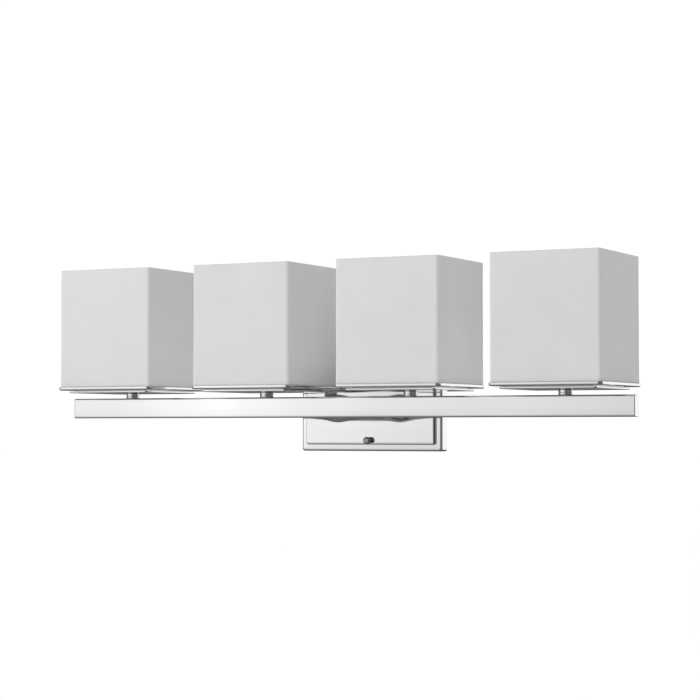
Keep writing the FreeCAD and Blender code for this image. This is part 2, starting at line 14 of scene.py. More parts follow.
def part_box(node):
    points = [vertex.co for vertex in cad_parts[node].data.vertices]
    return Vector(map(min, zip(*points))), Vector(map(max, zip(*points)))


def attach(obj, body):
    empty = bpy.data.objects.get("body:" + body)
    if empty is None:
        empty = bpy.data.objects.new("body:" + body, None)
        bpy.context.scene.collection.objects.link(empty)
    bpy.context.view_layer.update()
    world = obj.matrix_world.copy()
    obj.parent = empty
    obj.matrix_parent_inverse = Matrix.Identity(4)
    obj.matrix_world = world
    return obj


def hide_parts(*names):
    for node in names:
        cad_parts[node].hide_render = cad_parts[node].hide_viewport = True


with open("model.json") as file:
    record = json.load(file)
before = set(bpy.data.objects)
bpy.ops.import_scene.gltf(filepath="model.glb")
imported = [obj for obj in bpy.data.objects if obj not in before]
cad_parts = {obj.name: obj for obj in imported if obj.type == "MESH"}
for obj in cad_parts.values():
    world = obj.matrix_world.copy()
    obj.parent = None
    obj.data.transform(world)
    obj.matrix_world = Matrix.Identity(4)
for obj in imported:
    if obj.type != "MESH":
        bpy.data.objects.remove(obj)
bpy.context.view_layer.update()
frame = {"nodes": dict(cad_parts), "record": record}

MM = 0.001
LIGHTS = (1, 2, 3, 4)
SIDES = ("left", "right")
THUMB_NUTS = ("thumb_nut_top", "thumb_nut_bottom")
BODY = "fixture"

# Camera: standing to the right of the light, just below it, looking slightly up.
CAMERA_PLACE = Vector((1.1168, -2.2558, -0.026))
CAMERA_YAW = math.radians(27.1)
CAMERA_PITCH = math.radians(2.26)
CAMERA_LENS = 102.5
SENSOR = 36.0
FLOOR_LEVEL = -0.95


# Mesh tools ------------------------------------------------------------------------

SHARP_DEGREES = 32.0                 # edges that turn more than this stay sharp
CAD_SHARP_DEGREES = 30.0
ARC_STEP = math.radians(12)          # one edge of an outline's arc
LONGEST_REACH = 0.49                 # the share of a side that a corner's arc may take
HOLE_SEGMENTS = 48
CUTTER_LENGTH = 6.0 * MM


def new_object(name, bm):
    """Puts a bmesh into the scene as an object and frees it."""
    mesh = bpy.data.meshes.new(name)
    bm.to_mesh(mesh)
    bm.free()
    made = bpy.data.objects.new(name, mesh)
    bpy.context.scene.collection.objects.link(made)
    return made


def shade_smooth(mesh, sharp_degrees=SHARP_DEGREES):
    """Shades a mesh smooth, but for its sharp edges."""
    for polygon in mesh.polygons:
        polygon.use_smooth = True
    mesh.set_sharp_from_angle(angle=math.radians(sharp_degrees))


def keep_faces_flat(piece):
    """Weights a piece's normals by face area, so that large faces look flat."""
    weighting = piece.modifiers.new("flat_faces", "WEIGHTED_NORMAL")
    weighting.keep_sharp = True


def finish_mesh(name, bm, material, sharp_degrees=SHARP_DEGREES):
    """Turns a bmesh into a smooth-shaded piece whose flat faces stay flat."""
    bmesh.ops.recalc_face_normals(bm, faces=bm.faces)
    piece = new_object(name, bm)
    shade_smooth(piece.data, sharp_degrees)
    piece.data.materials.append(material)
    keep_faces_flat(piece)
    return piece


def round_outline(corners, closed=True):
    """Replaces each (u, v, radius) corner by an arc; returns (u, v) points."""
    points = []
    count = len(corners)
    for index, (u, v, radius) in enumerate(corners):
        here = Vector((u, v))
        is_end = not closed and index in (0, count - 1)
        if radius <= 0 or is_end:
            points.append(here)
            continue
        back = Vector(corners[index - 1][:2]) - here
        ahead = Vector(corners[(index + 1) % count][:2]) - here
        half = back.angle(ahead) / 2
        reach = min(radius / math.tan(half), LONGEST_REACH * back.length,
                    LONGEST_REACH * ahead.length)
        true_radius = reach * math.tan(half)
        toward = (back.normalized() + ahead.normalized()).normalized()
        centre = here + toward * (true_radius / math.sin(half))
        start = here + back.normalized() * reach - centre
        end = here + ahead.normalized() * reach - centre
        sweep = start.angle_signed(end)
        steps = max(3, round(abs(sweep) / ARC_STEP))
        for step in range(steps + 1):
            turned = start.copy()
            turned.rotate(Matrix.Rotation(-sweep * step / steps, 2))
            points.append(centre + turned)
    return points


def subdivided(points, longest):
    """Adds points to a closed outline so that no stretch is longer than longest."""
    result = []
    count = len(points)
    for index, here in enumerate(points):
        result.append(here)
        ahead = points[(index + 1) % count]
        parts = max(1, math.ceil((ahead - here).length / longest))
        result += [here.lerp(ahead, part / parts) for part in range(1, parts)]
    return result


def loft(name, loops, material, close_profile=True, cap_ends=False,
         sharp_degrees=SHARP_DEGREES):
    """Joins closed loops of equal length with quads; close_profile joins last to first."""
    bm = bmesh.new()
    rows = [[bm.verts.new(point) for point in loop] for loop in loops]
    count = len(rows[0])
    pairs = list(zip(rows, rows[1:]))
    if close_profile:
        pairs.append((rows[-1], rows[0]))
    for low, high in pairs:
        for index in range(count):
            after = (index + 1) % count
            bm.faces.new((low[index], low[after], high[after], high[index]))
    if cap_ends:
        bm.faces.new(rows[0])
        bm.faces.new(list(reversed(rows[-1])))
    return finish_mesh(name, bm, material, sharp_degrees)


def rounded_rectangle(half_a, half_b, radius, per_corner=8, per_side=1):
    """(a, b) points around a rectangle with round corners, with extra points on each side."""
    radius = min(radius, half_a * 0.98, half_b * 0.98)
    points = []
    for quarter in range(4):
        turn = math.pi / 2 * quarter
        sign_a = 1 if quarter in (0, 3) else -1
        sign_b = 1 if quarter in (0, 1) else -1
        centre = Vector((sign_a * (half_a - radius), sign_b * (half_b - radius)))
        arc = [centre + radius * Vector((math.cos(turn + math.pi / 2 * step / per_corner),
                                         math.sin(turn + math.pi / 2 * step / per_corner)))
               for step in range(per_corner + 1)]
        points += arc
        next_turn = turn + math.pi / 2
        next_a = 1 if (quarter + 1) % 4 in (0, 3) else -1
        next_b = 1 if (quarter + 1) % 4 in (0, 1) else -1
        next_start = Vector((next_a * (half_a - radius), next_b * (half_b - radius)))
        next_start += radius * Vector((math.cos(next_turn), math.sin(next_turn)))
        points += [arc[-1].lerp(next_start, step / per_side) for step in range(1, per_side)]
    return points


def square_rings(profile, half, corner, centre, circle_below=0.0, per_side=1, per_corner=8):
    """Loops about a vertical axis: rounded squares that follow a (half-width, height) profile.

    The corners stay parallel to the outermost square, and stretches nearer to the axis than
    circle_below become round.
    """
    reference = rounded_rectangle(half, half, corner, per_corner, per_side)
    loops = []
    for u, z in profile:
        if u < circle_below:
            ring = [u * point.normalized() for point in reference]
        else:
            radius = max(corner - (half - u), 0.25 * corner)
            ring = rounded_rectangle(u, u, radius, per_corner, per_side)
        loops.append([Vector((centre.x + p.x, centre.y + p.y, z)) for p in ring])
    return loops


def turned_rings(profile, centre, axis="Z", segments=96, shape=None):
    """Loops of a turned part from (radius, height) points; shape may vary the radius."""
    loops = []
    for radius, height in profile:
        loop = []
        for index in range(segments):
            turn = 2 * math.pi * index / segments
            reach = shape(radius, height, turn) if shape else radius
            across = reach * math.cos(turn)
            other = reach * math.sin(turn)
            if axis == "Z":
                loop.append(centre + Vector((across, other, height)))
            else:
                loop.append(centre + Vector((across, height, other)))
        loops.append(loop)
    return loops


def cut_holes(piece, cutters):
    """Cuts each (centre, radius, axis vector) round hole through a piece for good."""
    bm = bmesh.new()
    for centre, radius, axis in cutters:
        turn = Vector((0, 0, 1)).rotation_difference(Vector(axis)).to_matrix().to_4x4()
        bmesh.ops.create_cone(bm, cap_ends=True, segments=HOLE_SEGMENTS, radius1=radius,
                              radius2=radius, depth=CUTTER_LENGTH,
                              matrix=Matrix.Translation(centre) @ turn)
    tool = new_object("cutter", bm)
    cut = piece.modifiers.new("holes", "BOOLEAN")
    cut.object = tool
    cut.solver = "EXACT"
    piece.modifiers.remove(piece.modifiers["flat_faces"])
    graph = bpy.context.evaluated_depsgraph_get()
    cut_mesh = bpy.data.meshes.new_from_object(piece.evaluated_get(graph))
    piece.modifiers.clear()
    piece.data = cut_mesh
    shade_smooth(cut_mesh)
    keep_faces_flat(piece)
    bpy.data.objects.remove(tool)


def stand_for(piece, body, slot, *nodes):
    """Lets a piece ride on a body and stand for CAD nodes; the slot argument is not used."""
    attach(piece, body)
    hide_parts(*nodes)


def middle(node):
    """The middle of a node's box at rest."""
    low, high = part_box(node)
    return (low + high) / 2


def upright_axis(low, high):
    """Where the vertical axis of a turned part meets the level of the bar's axis."""
    return Vector(((low.x + high.x) / 2, (low.y + high.y) / 2, 0))


def level_axis(low, high):
    """Where the axis of a part turned about Y meets the wall."""
    return Vector(((low.x + high.x) / 2, 0, (low.z + high.z) / 2))


# Materials -------------------------------------------------------------------------

class Material:
    """A procedural material: a Principled shader with a few helper nodes.

    A name with underscores in values stands for the socket of that name with spaces.
    """

    def __init__(self, name, **values):
        self.material = bpy.data.materials.new(name)
        self.material.use_nodes = True
        self.tree = self.material.node_tree
        self.shader = self.tree.nodes["Principled BSDF"]
        for key, value in values.items():
            self.shader.inputs[key.replace("_", " ")].default_value = value

    def node(self, kind, **values):
        made = self.tree.nodes.new(kind)
        for key, value in values.items():
            if hasattr(made, key):
                setattr(made, key, value)
            else:
                made.inputs[key.replace("_", " ")].default_value = value
        return made

    def link(self, source, target):
        self.tree.links.new(source, target)

    def place(self):
        """The point on the surface, in metres in the object's own frame."""
        return self.node("ShaderNodeTexCoord").outputs["Object"]

    def noise(self, scale, detail=3.0, roughness=0.5, stretch=None):
        """A 0..1 noise value; stretch scales the surface points first, by axis."""
        texture = self.node("ShaderNodeTexNoise", Scale=scale, Detail=detail, Roughness=roughness)
        source = self.place()
        if stretch:
            mapping = self.node("ShaderNodeMapping")
            mapping.inputs["Scale"].default_value = stretch
            self.link(source, mapping.inputs["Vector"])
            source = mapping.outputs["Vector"]
        self.link(source, texture.inputs["Vector"])
        return texture.outputs["Fac"]

    def ramp(self, source, low, high, start=0.3, end=0.7):
        """Maps a 0..1 value to the range low..high."""
        change = self.node("ShaderNodeMapRange")
        change.inputs["From Min"].default_value = start
        change.inputs["From Max"].default_value = end
        change.inputs["To Min"].default_value = low
        change.inputs["To Max"].default_value = high
        self.link(source, change.inputs["Value"])
        return change.outputs["Result"]

    def vary_roughness(self, source, low, high):
        self.link(self.ramp(source, low, high), self.shader.inputs["Roughness"])

    def vary_colour(self, source, dark, light, start=0.3, end=0.7):
        blend = self.node("ShaderNodeMix", data_type="RGBA")
        blend.inputs["A"].default_value = (*dark, 1)
        blend.inputs["B"].default_value = (*light, 1)
        self.link(self.ramp(source, 0.0, 1.0, start, end), blend.inputs["Factor"])
        self.link(blend.outputs["Result"], self.shader.inputs["Base Color"])

    def bump(self, source, distance, strength=1.0):
        made = self.node("ShaderNodeBump", Strength=strength, Distance=distance)
        self.link(source, made.inputs["Height"])
        self.link(made.outputs["Normal"], self.shader.inputs["Normal"])


def opal_glass():
    """Etched opal glass, unlit: milky, softly translucent, with a fine satin surface."""
    made = Material("opal_glass", Roughness=0.5, IOR=1.5, Subsurface_Weight=0.85,
                    Subsurface_Scale=0.003, Specular_IOR_Level=0.35)
    made.shader.inputs["Subsurface Radius"].default_value = (1.0, 0.97, 0.92)
    made.vary_colour(made.noise(14.0, 4.0), (0.81, 0.81, 0.80), (0.84, 0.84, 0.832))
    made.vary_roughness(made.noise(900.0, 2.0), 0.42, 0.55)
    made.bump(made.noise(2600.0, 2.0), 0.00002, 0.5)
    return made.material


def polished_chrome():
    """Bright plated metal with the faintest haze of handling."""
    made = Material("polished_chrome", Metallic=1.0)
    made.vary_colour(made.noise(6.0, 2.0), (0.80, 0.805, 0.812), (0.83, 0.834, 0.84))
    made.vary_roughness(made.noise(24.0, 5.0, 0.6), 0.025, 0.065)
    made.bump(made.noise(40.0, 2.0), 0.00001, 0.25)
    return made.material


def satin_nickel():
    """The knurled thumb nuts: darker, slightly brown plated brass."""
    made = Material("satin_nickel", Metallic=1.0)
    made.vary_colour(made.noise(700.0, 4.0), (0.34, 0.31, 0.28), (0.54, 0.50, 0.46))
    made.vary_roughness(made.noise(1500.0, 3.0), 0.22, 0.42)
    made.bump(made.noise(3000.0, 2.0), 0.00002, 0.5)
    return made.material


def zinc_steel():
    """Zinc-plated pressed steel with its crystalline mottling."""
    made = Material("zinc_steel", Metallic=1.0)
    cells = made.node("ShaderNodeTexVoronoi", Scale=260.0)
    made.link(made.place(), cells.inputs["Vector"])
    made.vary_colour(cells.outputs["Distance"], (0.50, 0.50, 0.48), (0.66, 0.66, 0.64), 0.0, 1.0)
    made.vary_roughness(made.noise(300.0, 4.0), 0.25, 0.42)
    made.bump(made.noise(900.0, 3.0), 0.00003, 0.5)
    return made.material


def brass():
    """The screw shells' bright rolled sheet."""
    made = Material("shell_brass", Metallic=1.0)
    made.vary_colour(made.noise(160.0, 4.0), (0.66, 0.48, 0.22), (0.80, 0.62, 0.32))
    made.vary_roughness(made.noise(500.0, 3.0), 0.16, 0.32)
    made.bump(made.noise(1500.0, 2.0), 0.00002, 0.4)
    return made.material


def bare_copper():
    """Drawn ground wire, its grain running along Z."""
    made = Material("bare_copper", Metallic=1.0)
    made.vary_colour(made.noise(300.0, 4.0), (0.55, 0.27, 0.15), (0.75, 0.42, 0.27))
    made.vary_roughness(made.noise(800.0, 3.0), 0.2, 0.38)
    made.bump(made.noise(1800.0, 2.0, 0.5, (1, 1, 0.1)), 0.00002, 0.5)
    return made.material


def moulded(name, dark, light, rough_low, rough_high, grain=1400.0):
    """A moulded plastic or rubber with fine surface grain."""
    made = Material(name, IOR=1.48)
    made.vary_colour(made.noise(90.0, 5.0), dark, light)
    made.vary_roughness(made.noise(300.0, 4.0), rough_low, rough_high)
    made.bump(made.noise(grain, 3.0), 0.00004, 0.6)
    return made.material


def green_plating():
    """The ground screw's dyed green plating."""
    made = Material("green_screw", Metallic=0.6)
    made.vary_colour(made.noise(500.0, 4.0), (0.02, 0.17, 0.06), (0.06, 0.34, 0.13))
    made.vary_roughness(made.noise(900.0, 3.0), 0.28, 0.45)
    made.bump(made.noise(2500.0, 2.0), 0.00002, 0.5)
    return made.material


MATERIALS = {
    "opal_glass": opal_glass(),
    "polished_chrome": polished_chrome(),
    "satin_nickel": satin_nickel(),
    "zinc_steel": zinc_steel(),
    "shell_brass": brass(),
    "bare_copper": bare_copper(),
    "green_screw": green_plating(),
    "socket_phenolic": moulded("socket_phenolic", (0.018, 0.017, 0.016), (0.035, 0.033, 0.03),
                               0.28, 0.42),
    "ring_plastic": moulded("ring_plastic", (0.022, 0.022, 0.022), (0.04, 0.04, 0.04),
                            0.35, 0.5),
    "gasket_fibre": moulded("gasket_fibre", (0.62, 0.61, 0.57), (0.75, 0.74, 0.70), 0.7, 0.9,
                            500.0),
    "black_insulation": moulded("black_insulation", (0.012, 0.012, 0.012),
                                (0.03, 0.03, 0.03), 0.35, 0.5),
    "white_insulation": moulded("white_insulation", (0.70, 0.70, 0.67), (0.82, 0.82, 0.79),
                                0.35, 0.5),
    "connector_plastic": moulded("connector_plastic", (0.62, 0.17, 0.02), (0.80, 0.27, 0.05),
                                 0.3, 0.45),
}


def finish_cad_nodes():
    """Gives every CAD node its procedural material and smooth shading."""
    for entry in frame["record"]["subparts"]:
        node = frame["nodes"][entry["node"]]
        mesh = node.data
        mesh.materials.clear()
        mesh.materials.append(MATERIALS[entry["material_slot"]])
        for polygon in mesh.polygons:
            polygon.material_index = 0
        shade_smooth(mesh, CAD_SHARP_DEGREES)
        keep_faces_flat(node)


# One light ---------------------------------------------------------------------------

GLASS_WALL = 4.0 * MM
GLASS_FLOOR = 5.0 * MM
GLASS_CORNER = 3.8 * MM
GLASS_FOOT_RADIUS = 3.0 * MM
GLASS_INNER_FOOT_RADIUS = 3.5 * MM
GLASS_HOLE = 21.0 * MM
GLASS_HOLE_EDGE = 0.6 * MM
GLASS_RIM_ARRIS = 0.55 * MM
GLASS_POINT_SPACING = 6.0 * MM
GLASS_POINTS_PER_SIDE = 20
GLASS_WAVE = 0.22 * MM               # how far the blown faces wander inwards
GLASS_WAVE_LENGTH = 0.055
PIPE_HOLE = 5.0 * MM


def glass_shade(number):
    """A blown square shade: softly uneven walls, rounded foot and a ground, eased rim."""
    low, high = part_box(f"glass_shade_{number}")
    centre = (low + high) / 2
    half = (high.x - low.x) / 2
    bottom, top = low.z, high.z
    floor = bottom + GLASS_FLOOR
    inner = half - GLASS_WALL
    corners = [
        (GLASS_HOLE, bottom, GLASS_HOLE_EDGE), (half, bottom, GLASS_FOOT_RADIUS),
        (half, top, GLASS_RIM_ARRIS), (inner, top, GLASS_RIM_ARRIS),
        (inner, floor, GLASS_INNER_FOOT_RADIUS), (GLASS_HOLE, floor, GLASS_HOLE_EDGE),
    ]
    profile = subdivided(round_outline(corners), GLASS_POINT_SPACING)
    loops = square_rings(profile, half, GLASS_CORNER, centre, circle_below=GLASS_HOLE * 1.05,
                         per_side=GLASS_POINTS_PER_SIDE)
    shift = Vector((number * 3.7, number * 1.9, 0.0))       # each shade has waves of its own
    for loop in loops:
        for point in loop:
            reach = max(abs(point.x - centre.x), abs(point.y - centre.y))
            if reach < inner - 2 * MM:
                continue
            is_inside = reach < half - GLASS_WALL / 2
            seed = shift + Vector((0, 0, 9.0 if is_inside else 0.0))
            wave = noise.noise(point / GLASS_WAVE_LENGTH + seed)
            level = (point.z - bottom) / (top - bottom)
            fade = min(1.0, 4.0 * level, 12.0 * (1.0 - level) + 0.15)
            inward = GLASS_WAVE * (0.5 + wave) * max(fade, 0.0)
            for axis in (0, 1):
                away = point[axis] - centre[axis]
                point[axis] -= math.copysign(inward, away) * (abs(away) / reach)
    piece = loft(f"glass_shade_{number}_blown", loops, MATERIALS["opal_glass"])
    stand_for(piece, f"shade_{number}", "opal_glass", f"glass_shade_{number}")


TRAY_SHEET = 1.0 * MM
TRAY_CORNER = 5.6 * MM
TRAY_LOWER_RADIUS = 2.4 * MM
TRAY_LIP_EDGE = 0.42 * MM
TRAY_HOLE_EDGE = 0.15 * MM
TRAY_POINTS_PER_CORNER = 12


def shade_tray(number):
    """A stamped pan with a rolled lower edge and a rounded lip."""
    low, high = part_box(f"shade_tray_{number}")
    centre = (low + high) / 2
    half = (high.x - low.x) / 2
    floor = low.z + TRAY_SHEET
    inner = half - TRAY_SHEET
    corners = [
        (PIPE_HOLE, low.z, TRAY_HOLE_EDGE), (half, low.z, TRAY_LOWER_RADIUS),
        (half, high.z, TRAY_LIP_EDGE), (inner, high.z, TRAY_LIP_EDGE),
        (inner, floor, TRAY_LOWER_RADIUS - TRAY_SHEET),
        (PIPE_HOLE, floor, TRAY_HOLE_EDGE),
    ]
    loops = square_rings(round_outline(corners), half, TRAY_CORNER, centre,
                         circle_below=PIPE_HOLE * 2, per_corner=TRAY_POINTS_PER_CORNER)
    piece = loft(f"shade_tray_{number}_stamped", loops, MATERIALS["polished_chrome"])
    stand_for(piece, BODY, "polished_chrome", f"shade_tray_{number}")


PLATE_CORNER = 3.0 * MM
PLATE_STEP_INSET = 6.5 * MM
PLATE_STEP_HEIGHT = 1.0 * MM
PLATE_LOWER_RADIUS = 2.0 * MM
PLATE_EDGE = 0.3 * MM
PLATE_STEP_FILLET = 0.35 * MM
PLATE_HOLE_EDGE = 0.1 * MM


def tray_plate(number):
    """The square plate under a tray, with its raised step and eased edges."""
    low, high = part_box(f"tray_plate_{number}")
    centre = (low + high) / 2
    half = (high.x - low.x) / 2
    step = half - PLATE_STEP_INSET
    ledge = high.z - PLATE_STEP_HEIGHT
    corners = [
        (PIPE_HOLE, low.z, PLATE_HOLE_EDGE), (half, low.z, PLATE_LOWER_RADIUS),
        (half, ledge, PLATE_EDGE), (step, ledge, PLATE_STEP_FILLET),
        (step, high.z, PLATE_EDGE), (PIPE_HOLE, high.z, PLATE_HOLE_EDGE),
    ]
    loops = square_rings(round_outline(corners), half, PLATE_CORNER, centre,
                         circle_below=PIPE_HOLE * 2)
    piece = loft(f"tray_plate_{number}_eased", loops, MATERIALS["polished_chrome"])
    stand_for(piece, BODY, "polished_chrome", f"tray_plate_{number}")


POST_EDGE = 0.8 * MM
POST_GROOVE_HEIGHT = 2.3 * MM
POST_GROOVE_WIDTH = 0.5 * MM
POST_GROOVE_DEPTH = 0.6 * MM
POST_GROOVE_EDGE = 0.5 * MM
POST_GROOVE_FILLET = 0.08 * MM


def post(number):
    """The turned spacer under a tray: two rounded tiers with a groove between them."""
    low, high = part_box(f"post_{number}")
    centre = upright_axis(low, high)
    radius = (high.x - low.x) / 2
    groove_low = low.z + POST_GROOVE_HEIGHT
    groove_high = groove_low + POST_GROOVE_WIDTH
    depth = radius - POST_GROOVE_DEPTH
    corners = [
        (PIPE_HOLE, low.z, 0.0), (radius, low.z, POST_EDGE),
        (radius, groove_low, POST_GROOVE_EDGE), (depth, groove_low, POST_GROOVE_FILLET),
        (depth, groove_high, POST_GROOVE_FILLET), (radius, groove_high, POST_GROOVE_EDGE),
        (radius, high.z, POST_EDGE), (PIPE_HOLE, high.z, 0.0),
    ]
    loops = turned_rings(round_outline(corners), centre)
    piece = loft(f"post_{number}_turned", loops, MATERIALS["polished_chrome"],
                 sharp_degrees=50)
    stand_for(piece, BODY, "polished_chrome", f"post_{number}")


SOCKET_ROOT = 18.85 * MM
SOCKET_CREST = 19.45 * MM
SOCKET_THREAD_PITCH = 3.0 * MM
SOCKET_CAVITY = 14.2 * MM
SOCKET_FLOOR = 7.0 * MM
SOCKET_THREAD_START = 7.5 * MM       # the thread's foot above the socket's
SOCKET_THREAD_END = 2.5 * MM         # the thread's top below the socket's
SOCKET_THREAD_RUN_IN = 2.0 * MM
SOCKET_STEPS_PER_PITCH = 10
NIPPLE_HOLE = 4.8 * MM


def thread_wave(height, turn, pitch, flat=0.25):
    """0 at a thread's root and 1 at its crest, along a helix with rounded flats."""
    phase = (height / pitch - turn / (2 * math.pi)) % 1.0
    ridge = 0.5 + 0.5 * math.cos(2 * math.pi * phase)
    return min(1.0, max(0.0, (ridge - flat) / (1 - 2 * flat)))


def socket_body(number):
    """The lampholder's moulded cup with its helical outer thread."""
    low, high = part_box(f"socket_body_{number}")
    centre = upright_axis(low, high)
    floor = low.z + SOCKET_FLOOR
    thread_low = low.z + SOCKET_THREAD_START
    thread_high = high.z - SOCKET_THREAD_END
    outer = [Vector((SOCKET_ROOT, low.z)), Vector((SOCKET_ROOT, thread_low - 1.0 * MM))]
    steps = round((thread_high - thread_low) / (SOCKET_THREAD_PITCH / SOCKET_STEPS_PER_PITCH))
    for step in range(steps + 1):
        outer.append(Vector((SOCKET_ROOT,
                             thread_low + (thread_high - thread_low) * step / steps)))
    corners = [(SOCKET_ROOT, thread_high + 0.6 * MM, 0.0), (SOCKET_ROOT, high.z, 0.9 * MM),
               (SOCKET_CAVITY, high.z, 0.5 * MM), (SOCKET_CAVITY, floor, 0.8 * MM),
               (NIPPLE_HOLE, floor, 0.0), (NIPPLE_HOLE, low.z, 0.0),
               (SOCKET_ROOT, low.z, 0.4 * MM)]
    rest = round_outline(corners, closed=False)[:-1]

    def threaded(radius, height, turn):
        if radius < SOCKET_ROOT - 0.01 * MM or not thread_low < height < thread_high:
            return radius
        run_in = min(1.0, (height - thread_low) / SOCKET_THREAD_RUN_IN,
                     (thread_high - height) / SOCKET_THREAD_RUN_IN)
        rise = SOCKET_CREST - SOCKET_ROOT
        return radius + rise * run_in * thread_wave(height, turn, SOCKET_THREAD_PITCH)

    loops = turned_rings(outer + rest, centre, shape=threaded)
    piece = loft(f"socket_body_{number}_moulded", loops, MATERIALS["socket_phenolic"],
                 sharp_degrees=40)
    stand_for(piece, BODY, "socket_phenolic", f"socket_body_{number}")


SHELL_MAJOR = 13.1 * MM
SHELL_MINOR = 12.45 * MM
SHELL_SHEET = 0.35 * MM
SHELL_LENGTH = 24.0 * MM
SHELL_PITCH = 3.63 * MM
SHELL_STEPS_PER_PITCH = 12
SHELL_LIP = 1.4 * MM                 # the height of the flared lip above the thread
SHELL_PLAIN = 1.0 * MM               # the plain band at the foot
SHELL_FOOT_RUN_IN = 3.0 * MM
SHELL_LIP_RUN_IN = 2.0 * MM


def screw_shell(number):
    """The lamp's screw shell: thin rolled brass with the thread pressed through the sheet."""
    low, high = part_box(f"screw_shell_{number}")
    centre = upright_axis(low, high)
    bottom = high.z - SHELL_LENGTH
    lip = high.z - SHELL_LIP
    steps = round((lip - bottom) / (SHELL_PITCH / SHELL_STEPS_PER_PITCH))
    wall = [bottom + (lip - bottom) * step / steps for step in range(steps + 1)]
    rim = [(13.15 * MM, high.z - 1.0 * MM), (13.4 * MM, high.z - 0.55 * MM),
           (13.9 * MM, high.z - 0.38 * MM)]
    inside = [Vector((SHELL_MAJOR, height)) for height in wall]
    inside += [Vector(point) for point in rim]
    outside = [Vector((point.x + SHELL_SHEET, point.y)) for point in inside]
    outside[-1] = Vector((14.1 * MM, high.z))
    inside = inside[:-1] + [Vector((13.75 * MM, high.z - 0.1 * MM))]

    def rolled(radius, height, turn):
        if not bottom + SHELL_PLAIN < height < lip:
            return radius
        run_in = min(1.0, (height - bottom - SHELL_PLAIN) / SHELL_FOOT_RUN_IN,
                     (lip - height) / SHELL_LIP_RUN_IN)
        dent = 0.5 - 0.5 * math.cos(2 * math.pi * (height / SHELL_PITCH
                                                   - turn / (2 * math.pi)))
        return radius - (SHELL_MAJOR - SHELL_MINOR) * run_in * dent

    profile = list(reversed(outside)) + inside
    loops = turned_rings(profile, centre, shape=rolled)
    piece = loft(f"screw_shell_{number}_rolled", loops, MATERIALS["shell_brass"],
                 sharp_degrees=50)
    stand_for(piece, BODY, "shell_brass", f"screw_shell_{number}")


RING_BORE = 19.8 * MM
RING_BODY = 22.6 * MM
RING_FLANGE = 27.0 * MM
RING_FLANGE_HEIGHT = 2.4 * MM
RING_GRIPS = 24
RING_GRIP_DEPTH = 0.9 * MM
RING_GRIP_START = 1.5 * MM           # the scallops begin this far outside the body
RING_POINT_SPACING = 2.5 * MM


def shade_ring(number):
    """The moulded ring nut, with a scalloped rim for the fingers."""
    low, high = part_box(f"shade_ring_{number}")
    centre = upright_axis(low, high)
    shelf = low.z + RING_FLANGE_HEIGHT
    corners = [
        (RING_BORE, low.z, 0.3 * MM), (RING_FLANGE, low.z, 0.5 * MM),
        (RING_FLANGE, shelf, 0.6 * MM), (RING_BODY, shelf, 0.8 * MM),
        (RING_BODY, high.z, 0.6 * MM), (RING_BORE, high.z, 0.5 * MM),
    ]

    def scalloped(radius, height, turn):
        share = max(0.0, (radius - RING_BODY - RING_GRIP_START) / (RING_FLANGE - RING_BODY))
        dent = max(0.0, math.cos(RING_GRIPS * turn)) ** 3
        return radius - RING_GRIP_DEPTH * share * dent

    profile = subdivided(round_outline(corners), RING_POINT_SPACING)
    loops = turned_rings(profile, centre, segments=RING_GRIPS * 8, shape=scalloped)
    piece = loft(f"shade_ring_{number}_moulded", loops, MATERIALS["ring_plastic"])
    stand_for(piece, f"ring_{number}", "ring_plastic", f"shade_ring_{number}")


# Bar -----------------------------------------------------------------------------------

BAR_WALL = 1.2 * MM
BAR_EDGE = 2.2 * MM
BAR_CROWN = 0.16 * MM                # the polished faces fall away a little towards their edges
BAR_WAVE = 0.10 * MM
BAR_WAVE_LENGTH = 0.09
BAR_RING_SPACING = 6.0 * MM
BAR_POINT_SPACING = 1.6 * MM
BAR_INNER_EDGE = 0.1 * MM


def crowned_rectangle(half_y, half_z, radius, crown):
    """A rounded rectangle whose long faces are slightly convex; counter-clockwise."""
    corners = [(half_y, -half_z, radius), (half_y, half_z, radius),
               (-half_y, half_z, radius), (-half_y, -half_z, radius)]
    points = subdivided(round_outline(corners), BAR_POINT_SPACING)
    for point in points:
        fall = crown * (point.y / half_z) ** 2
        point.x -= math.copysign(fall, point.x) * min(1.0, abs(point.x) / (half_y - radius))
    return points


